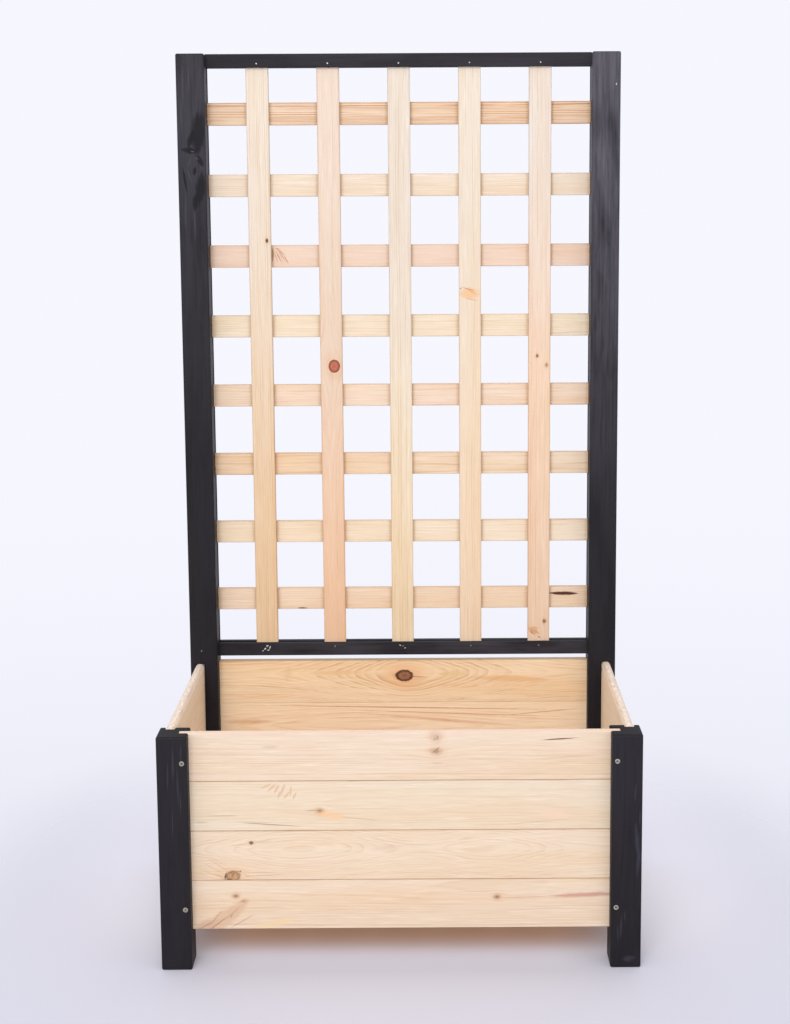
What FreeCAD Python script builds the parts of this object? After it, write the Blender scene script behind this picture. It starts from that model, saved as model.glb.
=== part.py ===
import FreeCAD, Part
import Sketcher
import math
import os
import re

# A free-standing wooden planter box with a tall trellis behind it, in millimetres.
# X runs to the right, Y to the back, Z up; the origin is on the floor under the middle of the box.
# The left-hand posts, boards and screws are modelled, and the right-hand ones are their mirror images.

doc = FreeCAD.newDocument("PlanterWithTrellis")
sheet = doc.addObject("Spreadsheet::Sheet", "Sizes")
sizes = {
    "overallWidth": 785,  # across the outer faces of the posts
    "overallDepth": 440,  # from the front posts' front to the rear posts' back
    "overallHeight": 1505,  # height of the rear posts
    "frontHeight": 396,  # height of the front posts
    "postSide": 50,  # side of the square posts
    "postEase": 3,  # radius of the posts' eased edges

    "panelBottom": 61,  # floor to the lowest board
    "boardThick": 16,  # thickness of the tongue-and-groove boards
    "panelDrop": 1.6,  # front posts' top to the front and back panels' top
    "sideRise": 1,  # side panels' top above the front posts' top
    "topTrim": 4.2,  # what is sawn off the front and back panels' top boards
    "tongueThick": 5,  # thickness of a board's tongue
    "tongueRise": 6,  # height of a board's tongue
    "tongueSlack": 0.3,  # room around a tongue in its groove
    "seamGap": 0.5,  # open joint between the faces of two boards
    "seamBevel": 1.0,  # bevel along a board's face edges
    "topEase": 1.5,  # rounding of the front and back panels' top edge
    "sideTopEase": 7.4,  # rounding of the side panels' top edge

    "frontCheek": 20,  # wood in front of the front panel's groove
    "outerCheek": 9,  # wood outside the side and back panels' grooves
    "panelEntry": 16,  # depth that the front and back boards enter the posts
    "sideEntry": 11,  # depth that the side boards enter the posts
    "slotSlack": 0.3,  # room around a board or slat in its groove

    "railHeight": 24,  # height of the trellis rails
    "railDepth": 25,  # depth of the trellis rails
    "railRecess": 19,  # rear posts' front face to the rails' front face
    "railCheek": 5.5,  # wood in front of the rails' groove
    "railGap": 12.6,  # back panel's top to the bottom rail
    "railEase": 1,  # rounding of the rails' long edges
    "slatWidth": 40,  # width of the trellis slats
    "slatThick": 9.5,  # thickness of the trellis slats
    "slatEase": 0.8,  # rounding of the slats' long edges
    "slatSeat": 11,  # depth that the uprights enter the rails
    "uprightEndGap": 70.5,  # post to the nearest upright
    "crossbarEndGap": 60.5,  # rail to the nearest crossbar
    "crossbarEntry": 8,  # depth that the crossbars enter the rear posts

    "cleatSide": 25,  # side of the square floor cleats
    "cleatEnd": 1,  # room between a cleat's end and the post
    "floorThick": 16,  # thickness of the floor boards
    "floorGap": 6,  # drainage gap between floor boards
    "floorEdge": 1,  # room between the floor and the panels

    "screwHead": 8,  # diameter of the screw heads
    "screwShank": 4,  # diameter of the screw shanks
    "screwLength": 35,  # length of the panel and cleat screws
    "screwRim": 0.4,  # height of a screw head's straight rim
    "recessWidth": 1.4,  # width of the cross recess's arms
    "recessSpan": 5.2,  # length of the cross recess's arms
    "recessDeep": 1.9,  # depth of the cross recess
    "screwInset": 8.7,  # post's inner face to the front and back screws
    "screwUpperDrop": 44,  # front posts' top to the upper screws
    "screwLowerRise": 104,  # floor to the lower screws
    "railScrewLength": 80,  # length of the screws in the rails' ends
    "railScrewInset": 7,  # rail's outer edge to its end screws
    "cleatScrewInset": 60,  # cleat's end to its first screw

    "bradHead": 2.6,  # diameter of the brads' heads
    "bradShank": 1.4,  # diameter of the brads' shanks
    "bradRim": 0.6,  # thickness of the brads' heads
    "railBradLength": 20,  # length of the brads in the rails
    "railBradInset": 7,  # rail's slat-side edge to its brads
    "crossBradLength": 16,  # length of the brads at the crossings
    "nailHead": 5,  # diameter of the floor nails' heads
    "nailShank": 2.2,  # diameter of the floor nails' shanks
    "nailLength": 35,  # length of the floor nails
}
for row, (alias, value) in enumerate(sizes.items(), 1):
    sheet.set("A%d" % row, alias)
    sheet.set("B%d" % row, str(value))
    sheet.setAlias("B%d" % row, alias)

boardsPerPanel = 4
uprightCount = 5
crossbarCount = 8
floorBoardCount = 7
cleatScrewCount = 4
overrun = 1  # how far a cutting sketch passes the face that it opens

# Places that several pieces share, as formulas of the sizes.
leftFace = "(-overallWidth / 2)"
frontFace = "(-overallDepth / 2)"
postInner = "(overallWidth / 2 - postSide)"
rearPostFront = "(overallDepth / 2 - postSide)"
slotWidth = "(boardThick + 2 * slotSlack)"
panelTop = "(frontHeight - panelDrop)"
sideTop = "(frontHeight + sideRise)"
boardCover = "((%s - panelBottom + topTrim) / %d)" % (panelTop, boardsPerPanel)
topBoardBase = "(panelBottom + %d * %s)" % (boardsPerPanel - 1, boardCover)
frontBoardFace = "(%s + frontCheek + slotSlack)" % frontFace
backBoardFace = "(overallDepth / 2 - outerCheek - slotSlack)"
sideBoardFace = "(%s + outerCheek + slotSlack)" % leftFace
railFront = "(%s + railRecess)" % rearPostFront
bottomRailBase = "(%s + railGap)" % panelTop
bottomRailTop = "(%s + railHeight)" % bottomRailBase
topRailBase = "(overallHeight - railHeight)"
uprightFront = "(%s + railCheek + slotSlack)" % railFront
crossbarFront = "(%s + slatThick)" % uprightFront
crossbarMiddle = "((%s + %s) / 2)" % (bottomRailTop, topRailBase)
crossbarPitch = "((%s - %s - 2 * crossbarEndGap - slatWidth) / %d)" % (
    topRailBase, bottomRailTop, crossbarCount - 1)
uprightPitch = "((2 * (%s - uprightEndGap) - slatWidth) / %d)" % (postInner, uprightCount - 1)
screwUpper = "(frontHeight - screwUpperDrop)"
screwAcross = "(%s + screwInset)" % postInner
cleatTop = "(panelBottom + cleatSide)"
cavityHalf = "(-%s - boardThick)" % sideBoardFace
cavityFront = "(%s + boardThick)" % frontBoardFace
cavityBack = "(%s - boardThick)" % backBoardFace


def formula(text):
    return re.sub(r"\b(%s)\b" % "|".join(sizes), r"Sizes.\1", str(text))


def bind(item, prop, text):
    item.setExpression(prop, formula(text))


def put(item, x=0, y=0, z=0, turn=None):
    if turn:
        item.Placement = FreeCAD.Placement(FreeCAD.Vector(), turn)
    bind(item, "Placement.Base.x", x)
    bind(item, "Placement.Base.y", y)
    bind(item, "Placement.Base.z", z)


def add(kind, name):
    item = doc.addObject(kind, name)
    item.Label = name
    return item


def sketchOn(body, name, role, lift=0):
    sketch = body.newObject("Sketcher::SketchObject", name)
    plane = [item for item in body.Origin.OriginFeatures if item.Role == role][0]
    sketch.AttachmentSupport = [(plane, "")]
    sketch.MapMode = "FlatFace"
    bind(sketch, "AttachmentOffset.Base.z", lift)
    return sketch


def outline(sketch, corners):
    # Straight lines from corner to corner; each corner is tied to the sketch's origin by two formulas.
    count = len(corners)
    start = []
    for i in range(count):
        angle = 2 * math.pi * i / count
        start.append(FreeCAD.Vector(math.cos(angle), math.sin(angle), 0))
    for i in range(count):
        sketch.addGeometry(Part.LineSegment(start[i], start[(i + 1) % count]), False)
    for i in range(count):
        sketch.addConstraint(Sketcher.Constraint("Coincident", i, 2, (i + 1) % count, 1))
    for i, corner in enumerate(corners):
        for direction, text in zip(("DistanceX", "DistanceY"), corner):
            number = sketch.addConstraint(Sketcher.Constraint(direction, -1, 1, i, 1, 1.0))
            bind(sketch, "Constraints[%d]" % number, text)


def rectangle(sketch, across, up):
    outline(sketch, [(across[0], up[0]), (across[1], up[0]), (across[1], up[1]), (across[0], up[1])])


def pad(body, sketch, length, name, middle=False):
    feature = body.newObject("PartDesign::Pad", name)
    feature.Profile = sketch
    if middle:
        feature.SideType = "Symmetric"
    bind(feature, "Length", length)
    body.Tip = feature
    return feature


def slot(body, name, across, back, base, top):
    # An upright slot cut into a post, from the height base to the height top.
    sketch = sketchOn(body, name + "_outline", "XY_Plane", base)
    rectangle(sketch, across, back)
    doc.recompute()
    before = body.Shape.Volume
    cut = body.newObject("PartDesign::Pocket", name)
    cut.Profile = sketch
    cut.Reversed = True
    bind(cut, "Length", "%s - %s" % (top, base))
    body.Tip = cut
    doc.recompute()
    if body.Shape.Volume >= before:
        raise RuntimeError("%s cuts nothing" % name)


def ease(body, name, radius, picks):
    doc.recompute()
    edges = []
    for number, edge in enumerate(body.Shape.Edges, 1):
        if picks(edge):
            edges.append("Edge%d" % number)
    base = body.Tip
    feature = body.newObject("PartDesign::Fillet", name)
    feature.Base = (base, edges)
    bind(feature, "Radius", radius)
    body.Tip = feature
    doc.recompute()


def cutBy(name, base, tools):
    if len(tools) == 1:
        tool = tools[0]
    else:
        tool = add("Part::Compound", name + "_tools")
        tool.Links = tools
    cut = add("Part::Cut", name)
    cut.Base = base
    cut.Tool = tool
    return cut


def mirrored(name, source):
    image = add("Part::Mirroring", name)
    image.Source = source
    image.Normal = (1, 0, 0)
    return image


# Fasteners: each stands on its tip at its own origin, with its head at the top.

toFront = FreeCAD.Rotation(FreeCAD.Vector(1, 0, 0), 90)
toBack = FreeCAD.Rotation(FreeCAD.Vector(1, 0, 0), -90)
toLeft = FreeCAD.Rotation(FreeCAD.Vector(0, 1, 0), -90)


def turned(name, corners):
    body = add("PartDesign::Body", name)
    sketch = sketchOn(body, name + "_half", "XZ_Plane")
    outline(sketch, corners)
    feature = body.newObject("PartDesign::Revolution", name + "_turn")
    feature.Profile = sketch
    feature.ReferenceAxis = (sketch, ["V_Axis"])
    feature.Angle = 360
    body.Tip = feature
    return body


def screw(name, length):
    shank = "screwShank / 2"
    neck = "%s - screwRim - (screwHead - screwShank) / 2" % length
    blank = turned(name + "_blank", [
        ("0", "0"),
        (shank, "screwShank"),
        (shank, neck),
        ("screwHead / 2", "%s - screwRim" % length),
        ("screwHead / 2", length),
        ("0", length),
    ])
    arms = []
    for number, (wide, deep) in enumerate((("recessSpan", "recessWidth"), ("recessWidth", "recessSpan"))):
        arm = add("Part::Box", "%s_arm_%d" % (name, number))
        bind(arm, "Length", wide)
        bind(arm, "Width", deep)
        bind(arm, "Height", "recessDeep + %d" % overrun)
        put(arm, "-%s / 2" % wide, "-%s / 2" % deep, "%s - recessDeep" % length)
        arms.append(arm)
    return cutBy(name, blank, arms), blank


def nail(name, head, shank, length):
    body = turned(name, [
        ("0", "0"),
        ("%s / 2" % shank, shank),
        ("%s / 2" % shank, "%s - bradRim" % length),
        ("%s / 2" % head, "%s - bradRim" % length),
        ("%s / 2" % head, length),
        ("0", length),
    ])
    return body, body


def group(name, kind, turn, places):
    # Copies of one fastener, as a group of separate solids, and its blank for the holes.
    groups = []
    for suffix, original in zip(("", "_holes"), kind):
        links = []
        for number, (x, y, z) in enumerate(places):
            link = doc.addObject("App::Link", "%s%s_%d" % (name, suffix, number + 1))
            link.LinkedObject = original
            put(link, x, y, z, turn)
            links.append(link)
        together = add("Part::Compound", name + suffix)
        together.Links = links
        groups.append(together)
    return groups


def spread(count, pitch):
    return ["%g * %s" % (i - (count - 1) / 2, pitch) for i in range(count)]


panelScrew = screw("panel_screw", "screwLength")
railScrew = screw("rail_screw", "railScrewLength")
railBrad = nail("rail_brad", "bradHead", "bradShank", "railBradLength")
crossBrad = nail("cross_brad", "bradHead", "bradShank", "crossBradLength")
floorNail = nail("floor_nail", "nailHead", "nailShank", "nailLength")

screwHeights = (screwUpper, "screwLowerRise")
uprightPlaces = spread(uprightCount, uprightPitch)
crossbarPlaces = ["%s + %s" % (crossbarMiddle, rise) for rise in spread(crossbarCount, crossbarPitch)]
cleatHalf = "(%s - cleatEnd)" % postInner
cleatRun = "(2 * (%s - cleatScrewInset) / %d)" % (cleatHalf, cleatScrewCount - 1)
cleatPlaces = spread(cleatScrewCount, cleatRun)
floorWidth = "((2 * (%s - floorEdge) - %d * floorGap) / %d)" % (
    cavityHalf, floorBoardCount - 1, floorBoardCount)
floorPlaces = spread(floorBoardCount, "(%s + floorGap)" % floorWidth)
railScrewBack = "%s + railDepth / 2" % railFront

frontScrews, frontHoles = group("front_panel_screws", panelScrew, toFront, [
    ("%s%s" % (sign, screwAcross), "%s + screwLength" % frontFace, height)
    for sign in ("-", "") for height in screwHeights])
backScrews, backHoles = group("back_panel_screws", panelScrew, toBack, [
    ("%s%s" % (sign, screwAcross), "overallDepth / 2 - screwLength", height)
    for sign in ("-", "") for height in screwHeights])
sideScrews, sideHoles = group("left_panel_screws", panelScrew, toLeft, [
    ("%s + screwLength" % leftFace, "%s(%s + sideEntry / 2)" % (sign, rearPostFront), height)
    for sign in ("-", "") for height in screwHeights])
railScrews, railScrewHoles = group("left_rail_screws", railScrew, toLeft, [
    ("%s + railScrewLength" % leftFace, railScrewBack, height)
    for height in ("%s + railScrewInset" % bottomRailBase, "overallHeight - railScrewInset")])
frontCleatScrews, frontCleatHoles = group("front_cleat_screws", panelScrew, toBack, [
    (x, "%s + cleatSide - screwLength" % cavityFront, "panelBottom + cleatSide / 2")
    for x in cleatPlaces])
backCleatScrews, backCleatHoles = group("back_cleat_screws", panelScrew, toFront, [
    (x, "%s - cleatSide + screwLength" % cavityBack, "panelBottom + cleatSide / 2")
    for x in cleatPlaces])
bottomBrads, bottomBradHoles = group("bottom_rail_brads", railBrad, toFront, [
    (x, "%s + railBradLength" % railFront, "%s - railBradInset" % bottomRailTop)
    for x in uprightPlaces])
topBrads, topBradHoles = group("top_rail_brads", railBrad, toFront, [
    (x, "%s + railBradLength" % railFront, "%s + railBradInset" % topRailBase)
    for x in uprightPlaces])
crossBrads, crossHoles = group("crossing_brads", crossBrad, toBack, [
    (x, "%s + slatThick - crossBradLength" % crossbarFront, z)
    for z in crossbarPlaces for x in uprightPlaces])
floorNails, floorHoles = group("floor_nails", floorNail, None, [
    (x, y, "%s + floorThick - nailLength" % cleatTop)
    for x in floorPlaces
    for y in ("%s + cleatSide / 2" % cavityFront, "%s - cleatSide / 2" % cavityBack)])


# Posts: square, eased on every edge, slotted for what they hold.

def post(name, tall):
    body = add("PartDesign::Body", name)
    section = sketchOn(body, name + "_section", "XY_Plane")
    rectangle(section, ("0", "postSide"), ("0", "postSide"))
    pad(body, section, tall, name + "_pad")
    ease(body, name + "_ease", "postEase", lambda edge: True)
    return body


pastSide = "postSide + %d" % overrun
sideSlotAcross = ("outerCheek", "outerCheek + %s" % slotWidth)
panelSlotAcross = ("postSide - panelEntry - slotSlack", pastSide)

frontPost = post("front_post_blank", "frontHeight")
slot(frontPost, "front_panel_slot", panelSlotAcross,
     ("frontCheek", "frontCheek + %s" % slotWidth), "panelBottom", "(frontHeight + %d)" % overrun)
slot(frontPost, "front_side_slot", sideSlotAcross,
     ("postSide - sideEntry - slotSlack", pastSide), "panelBottom", "(frontHeight + %d)" % overrun)
put(frontPost, leftFace, frontFace)

rearPost = post("rear_post_blank", "overallHeight")
slot(rearPost, "back_panel_slot", panelSlotAcross,
     ("postSide - outerCheek - %s" % slotWidth, "postSide - outerCheek"),
     "panelBottom", "(%s + slotSlack)" % panelTop)
slot(rearPost, "rear_side_slot", sideSlotAcross,
     ("0", "sideEntry + slotSlack"), "panelBottom", "(%s + slotSlack)" % sideTop)
crossbarBack = "railRecess + railCheek + slatThick"
slot(rearPost, "crossbar_slot", ("postSide - crossbarEntry - slotSlack", pastSide),
     (crossbarBack, "%s + slatThick + 2 * slotSlack" % crossbarBack), bottomRailTop, topRailBase)
put(rearPost, leftFace, rearPostFront)

frontLeftPost = cutBy("front_left_post", frontPost, [frontHoles, sideHoles])
rearLeftPost = cutBy("rear_left_post", rearPost, [backHoles, sideHoles, railScrewHoles])


# Tongue-and-groove boards: the tongue points up, and the outer face has bevelled edges.

def board(name, length, cover, isTop, roundTop):
    body = add("PartDesign::Body", name)
    section = sketchOn(body, name + "_section", "YZ_Plane")
    grooveNear = "(boardThick - tongueThick) / 2 - tongueSlack"
    grooveFar = "(boardThick + tongueThick) / 2 + tongueSlack"
    grooveDeep = "tongueRise + tongueSlack"
    shoulder = cover if isTop else "(%s - seamGap)" % cover
    corners = [
        ("seamBevel", "0"),
        (grooveNear, "0"),
        (grooveNear, grooveDeep),
        (grooveFar, grooveDeep),
        (grooveFar, "0"),
        ("boardThick", "0"),
        ("boardThick", shoulder),
    ]
    if isTop:
        corners.append(("0", shoulder))
    else:
        corners += [
            ("(boardThick + tongueThick) / 2", shoulder),
            ("(boardThick + tongueThick) / 2", "%s + tongueRise" % cover),
            ("(boardThick - tongueThick) / 2", "%s + tongueRise" % cover),
            ("(boardThick - tongueThick) / 2", shoulder),
            ("seamBevel", shoulder),
            ("0", "%s - seamBevel" % shoulder),
        ]
    corners.append(("0", "seamBevel"))
    outline(section, corners)
    pad(body, section, length, name + "_pad", middle=True)
    if isTop:
        doc.recompute()
        top = body.Shape.BoundBox.ZMax

        def isTopEdge(edge):
            return edge.BoundBox.ZMin > top - 0.01 and edge.BoundBox.XLength > 1

        ease(body, name + "_ease", roundTop, isTopEdge)
    return body


frontLength = "2 * (%s + panelEntry)" % postInner
sideLength = "2 * (%s + sideEntry)" % rearPostFront
half = FreeCAD.Rotation(FreeCAD.Vector(0, 0, 1), 180)
quarter = FreeCAD.Rotation(FreeCAD.Vector(0, 0, 1), -90)
panels = (
    ("front", frontLength, panelTop, "topEase", ("0", frontBoardFace), None, [frontHoles], frontCleatHoles),
    ("back", frontLength, panelTop, "topEase", ("0", backBoardFace), half, [backHoles], backCleatHoles),
    ("left", sideLength, sideTop, "sideTopEase", (sideBoardFace, "0"), quarter, [sideHoles], None),
)
finished = [frontLeftPost, rearLeftPost,
            mirrored("front_right_post", frontLeftPost), mirrored("rear_right_post", rearLeftPost)]
for side, length, top, roundTop, (x, y), turn, screwHoles, cleatHoles in panels:
    for i in range(boardsPerPanel):
        isTop = i == boardsPerPanel - 1
        cover = "(%s - %s)" % (top, topBoardBase) if isTop else boardCover
        name = "%s_board_%d" % (side, i + 1)
        tools = []
        if i == 0 or isTop:
            tools += screwHoles
        if i == 0 and cleatHoles:
            tools.append(cleatHoles)
        plain = board(name + "_blank" if tools else name, length, cover, isTop, roundTop)
        put(plain, x, y, "panelBottom + %d * %s" % (i, boardCover), turn)
        if tools:
            plain = cutBy(name, plain, tools)
        finished.append(plain)
        if side == "left":
            finished.append(mirrored("right_board_%d" % (i + 1), plain))


# Trellis: two grooved rails, uprights in front and crossbars behind.

def stick(name, role, across, up, length, radius, middle=True):
    body = add("PartDesign::Body", name)
    section = sketchOn(body, name + "_section", role)
    rectangle(section, ("0", across), ("0", up))
    pad(body, section, length, name + "_pad", middle)
    doc.recompute()
    reach = max(edge.Length for edge in body.Shape.Edges)
    ease(body, name + "_ease", radius, lambda edge: edge.Length > reach - 0.01)
    return body


def rail(name, base, opensUp, brads):
    body = add("PartDesign::Body", name + "_blank")
    section = sketchOn(body, name + "_section", "YZ_Plane")
    rectangle(section, ("0", "railDepth"), ("0", "railHeight"))
    pad(body, section, "2 * %s" % postInner, name + "_pad", middle=True)
    doc.recompute()
    reach = max(edge.Length for edge in body.Shape.Edges)
    ease(body, name + "_ease", "railEase", lambda edge: edge.Length > reach - 0.01)
    groove = sketchOn(body, name + "_groove", "YZ_Plane")
    deep = "slatSeat + slotSlack"
    up = ("railHeight - (%s)" % deep, "railHeight") if opensUp else ("0", deep)
    rectangle(groove, ("railCheek", "railCheek + slatThick + 2 * slotSlack"), up)
    before = body.Shape.Volume
    cut = body.newObject("PartDesign::Pocket", name + "_cut")
    cut.Profile = groove
    cut.SideType = "Symmetric"
    bind(cut, "Length", "2 * %s + 2 * %d" % (postInner, overrun))
    body.Tip = cut
    doc.recompute()
    if body.Shape.Volume >= before:
        raise RuntimeError("%s has no groove" % name)
    put(body, "0", railFront, base)
    return cutBy(name, body, [brads, railScrewHoles, railScrewHolesRight])


railScrewHolesRight = mirrored("right_rail_screws_holes", railScrewHoles)
finished.append(rail("trellis_bottom_rail", bottomRailBase, True, bottomBradHoles))
finished.append(rail("trellis_top_rail", topRailBase, False, topBradHoles))

for i, x in enumerate(uprightPlaces):
    name = "trellis_upright_%d" % (i + 1)
    slat = stick(name + "_blank", "XY_Plane", "slatWidth", "slatThick",
                 "%s - %s + 2 * slatSeat" % (topRailBase, bottomRailTop), "slatEase", middle=False)
    put(slat, "%s - slatWidth / 2" % x, uprightFront, "%s - slatSeat" % bottomRailTop)
    finished.append(cutBy(name, slat, [crossHoles, bottomBradHoles, topBradHoles]))
for i, z in enumerate(crossbarPlaces):
    name = "trellis_crossbar_%d" % (i + 1)
    slat = stick(name + "_blank", "YZ_Plane", "slatThick", "slatWidth",
                 "2 * (%s + crossbarEntry)" % postInner, "slatEase")
    put(slat, "0", crossbarFront, "%s - slatWidth / 2" % z)
    finished.append(cutBy(name, slat, [crossHoles]))


# Floor: boards across two cleats, notched round the posts at the ends.

for name, y, screwHoles in (
        ("front_floor_cleat", cavityFront, frontCleatHoles),
        ("back_floor_cleat", "%s - cleatSide" % cavityBack, backCleatHoles)):
    cleat = stick(name + "_blank", "YZ_Plane", "cleatSide", "cleatSide", "2 * %s" % cleatHalf, "slatEase")
    put(cleat, "0", y, "panelBottom")
    finished.append(cutBy(name, cleat, [screwHoles, floorHoles]))

notches = []
for name, y in (("front", frontFace), ("rear", "%s - cleatEnd" % rearPostFront)):
    notch = add("Part::Box", name + "_notch")
    bind(notch, "Length", "postSide + cleatEnd")
    bind(notch, "Width", "postSide + cleatEnd")
    bind(notch, "Height", "frontHeight")
    put(notch, leftFace, y)
    notches.append(notch)
for i, x in enumerate(floorPlaces[:-1]):
    name = "floor_board_%d" % (i + 1)
    plank = stick(name + "_blank", "XZ_Plane", floorWidth, "floorThick",
                  "%s - %s - 2 * floorEdge" % (cavityBack, cavityFront), "slatEase")
    put(plank, "%s - %s / 2" % (x, floorWidth), "(%s + %s) / 2" % (cavityBack, cavityFront), cleatTop)
    tools = [floorHoles] + (notches if i == 0 else [])
    plank = cutBy(name, plank, tools)
    finished.append(plank)
    if i == 0:
        finished.append(mirrored("floor_board_%d" % floorBoardCount, plank))

finished += [frontScrews, backScrews, sideScrews, mirrored("right_panel_screws", sideScrews),
             railScrews, mirrored("right_rail_screws", railScrews), frontCleatScrews, backCleatScrews,
             bottomBrads, topBrads, crossBrads, floorNails]

doc.recompute()
for item in doc.Objects:
    if "Invalid" in item.State or "Error" in item.State:
        raise RuntimeError("%s failed: %s" % (item.Name, item.State))
for item in finished:
    if item.Shape.isNull() or not item.Shape.isValid():
        raise RuntimeError("%s has no valid shape" % item.Label)

os.makedirs("parts", exist_ok=True)
for item in finished:
    item.Shape.exportStep("parts/%s.step" % item.Label)
    print(item.Label, len(item.Shape.Solids), "solids, volume", round(item.Shape.Volume))
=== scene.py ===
import bpy
import bmesh
import math
import random
from mathutils import Matrix, Vector


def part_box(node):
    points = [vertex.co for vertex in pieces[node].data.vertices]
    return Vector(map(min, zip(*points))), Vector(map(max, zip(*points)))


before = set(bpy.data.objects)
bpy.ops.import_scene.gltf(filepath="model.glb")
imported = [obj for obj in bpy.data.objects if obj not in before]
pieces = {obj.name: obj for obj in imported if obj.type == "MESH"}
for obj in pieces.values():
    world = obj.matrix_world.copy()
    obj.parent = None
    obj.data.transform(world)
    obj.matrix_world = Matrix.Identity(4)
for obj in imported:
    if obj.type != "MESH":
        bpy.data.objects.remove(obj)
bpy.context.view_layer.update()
print("frame loaded,", len(pieces), "pieces")

scene = bpy.context.scene
scene.view_settings.view_transform = "Standard"
mm = 0.001


# camera: where the photograph was taken from, square on and a little above the trellis's middle

cameraSpot = {
    "place": (0.0491, -2.7009, 1.2843),
    "down": 0.1306,  # tilt below level, in radians
    "turn": 0.0008,
    "lean": -0.0056,
    "lens": 56.34,
    "shiftX": -0.0334,
    "shiftY": -0.12,
}


def setCamera():
    lens = bpy.data.cameras.new("photoCamera")
    lens.lens = cameraSpot["lens"]
    lens.shift_x = cameraSpot["shiftX"]
    lens.shift_y = cameraSpot["shiftY"]
    eye = bpy.data.objects.new("photoCamera", lens)
    eye.matrix_world = (
        Matrix.Translation(cameraSpot["place"])
        @ Matrix.Rotation(-cameraSpot["turn"], 4, "Z")
        @ Matrix.Rotation(math.pi / 2 - cameraSpot["down"], 4, "X")
        @ Matrix.Rotation(cameraSpot["lean"], 4, "Z"))
    scene.collection.objects.link(eye)
    scene.camera = eye


setCamera()
print("camera placed")


# values on their way through a node tree, so that a pattern reads like a formula

def feed(tree, value, socket):
    if isinstance(value, Wire):
        tree.links.new(value.socket, socket)
    else:
        socket.default_value = value


class Wire:
    def __init__(self, tree, socket):
        self.tree = tree
        self.socket = socket

    def step(self, operation, *others):
        made = self.tree.nodes.new("ShaderNodeMath")
        made.operation = operation
        for value, socket in zip((self,) + others, made.inputs):
            feed(self.tree, value, socket)
        return Wire(self.tree, made.outputs[0])

    def __add__(self, other):
        return self.step("ADD", other)

    def __sub__(self, other):
        return self.step("SUBTRACT", other)

    def __mul__(self, other):
        return self.step("MULTIPLY", other)

    def __truediv__(self, other):
        return self.step("DIVIDE", other)

    def soft(self, low, high):  # 0 below low, 1 above high, smooth between
        made = self.tree.nodes.new("ShaderNodeMapRange")
        made.interpolation_type = "SMOOTHSTEP"
        for value, label in ((self, "Value"), (low, "From Min"), (high, "From Max")):
            feed(self.tree, value, made.inputs[label])
        return Wire(self.tree, made.outputs["Result"])

    def flip(self):
        return self * -1.0 + 1.0


def split(vector):
    made = vector.tree.nodes.new("ShaderNodeSeparateXYZ")
    feed(vector.tree, vector, made.inputs[0])
    return [Wire(vector.tree, socket) for socket in made.outputs]


def join(tree, *parts):
    made = tree.nodes.new("ShaderNodeCombineXYZ")
    for value, socket in zip(parts, made.inputs):
        feed(tree, value, socket)
    return Wire(tree, made.outputs[0])


def vectorStep(vector, operation, by):
    made = vector.tree.nodes.new("ShaderNodeVectorMath")
    made.operation = operation
    feed(vector.tree, vector, made.inputs[0])
    feed(vector.tree, by, made.inputs[1])
    return Wire(vector.tree, made.outputs[0])


def noise(place, stretch, detail=2.0, rough=0.5):  # stretch is in swells per metre
    made = place.tree.nodes.new("ShaderNodeTexNoise")
    feed(place.tree, vectorStep(place, "MULTIPLY", stretch), made.inputs["Vector"])
    made.inputs["Scale"].default_value = 1.0
    made.inputs["Detail"].default_value = detail
    made.inputs["Roughness"].default_value = rough
    return Wire(place.tree, made.outputs["Fac"])


def tint(factor, below, above, how="MIX"):
    made = factor.tree.nodes.new("ShaderNodeMix")
    made.data_type = "RGBA"
    made.blend_type = how
    made.clamp_factor = True
    feed(factor.tree, factor, made.inputs["Factor"])
    colours = [socket for socket in made.inputs if socket.type == "RGBA"]
    feed(factor.tree, below, colours[0])
    feed(factor.tree, above, colours[1])
    return Wire(factor.tree, [socket for socket in made.outputs if socket.type == "RGBA"][0])


def shade(red, green, blue):  # a colour as a paint chart gives it, 0 to 255
    parts = []
    for value in (red, green, blue):
        value /= 255
        parts.append(value / 12.92 if value <= 0.04045 else ((value + 0.055) / 1.055) ** 2.4)
    return (*parts, 1.0)


def newGroup(name, takes, gives):
    tree = bpy.data.node_groups.new(name, "ShaderNodeTree")
    for way, labels in (("INPUT", takes), ("OUTPUT", gives)):
        for label, kind in labels.items():
            tree.interface.new_socket(label, in_out=way, socket_type="NodeSocket" + kind)
    start = tree.nodes.new("NodeGroupInput")
    end = tree.nodes.new("NodeGroupOutput")
    return tree, {label: Wire(tree, start.outputs[label]) for label in takes}, end


def useGroup(tree, group, values):
    made = tree.nodes.new("ShaderNodeGroup")
    made.node_tree = group
    for label, value in values.items():
        feed(tree, value, made.inputs[label])
    return {socket.name: Wire(tree, socket) for socket in made.outputs}


# growth rings: how many rings lie between a point and the tree's wandering heart

ringLook = {
    "drift": (2.3, 1.0, 1.0),
    "sink": (1.7, 1.0, 1.0),
    "ragged": (9.0, 60.0, 60.0),
    "raggedReach": 0.0024,
    "uneven": (140.0, 1.0, 1.0),
    "unevenYears": 2.2,
}


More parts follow.
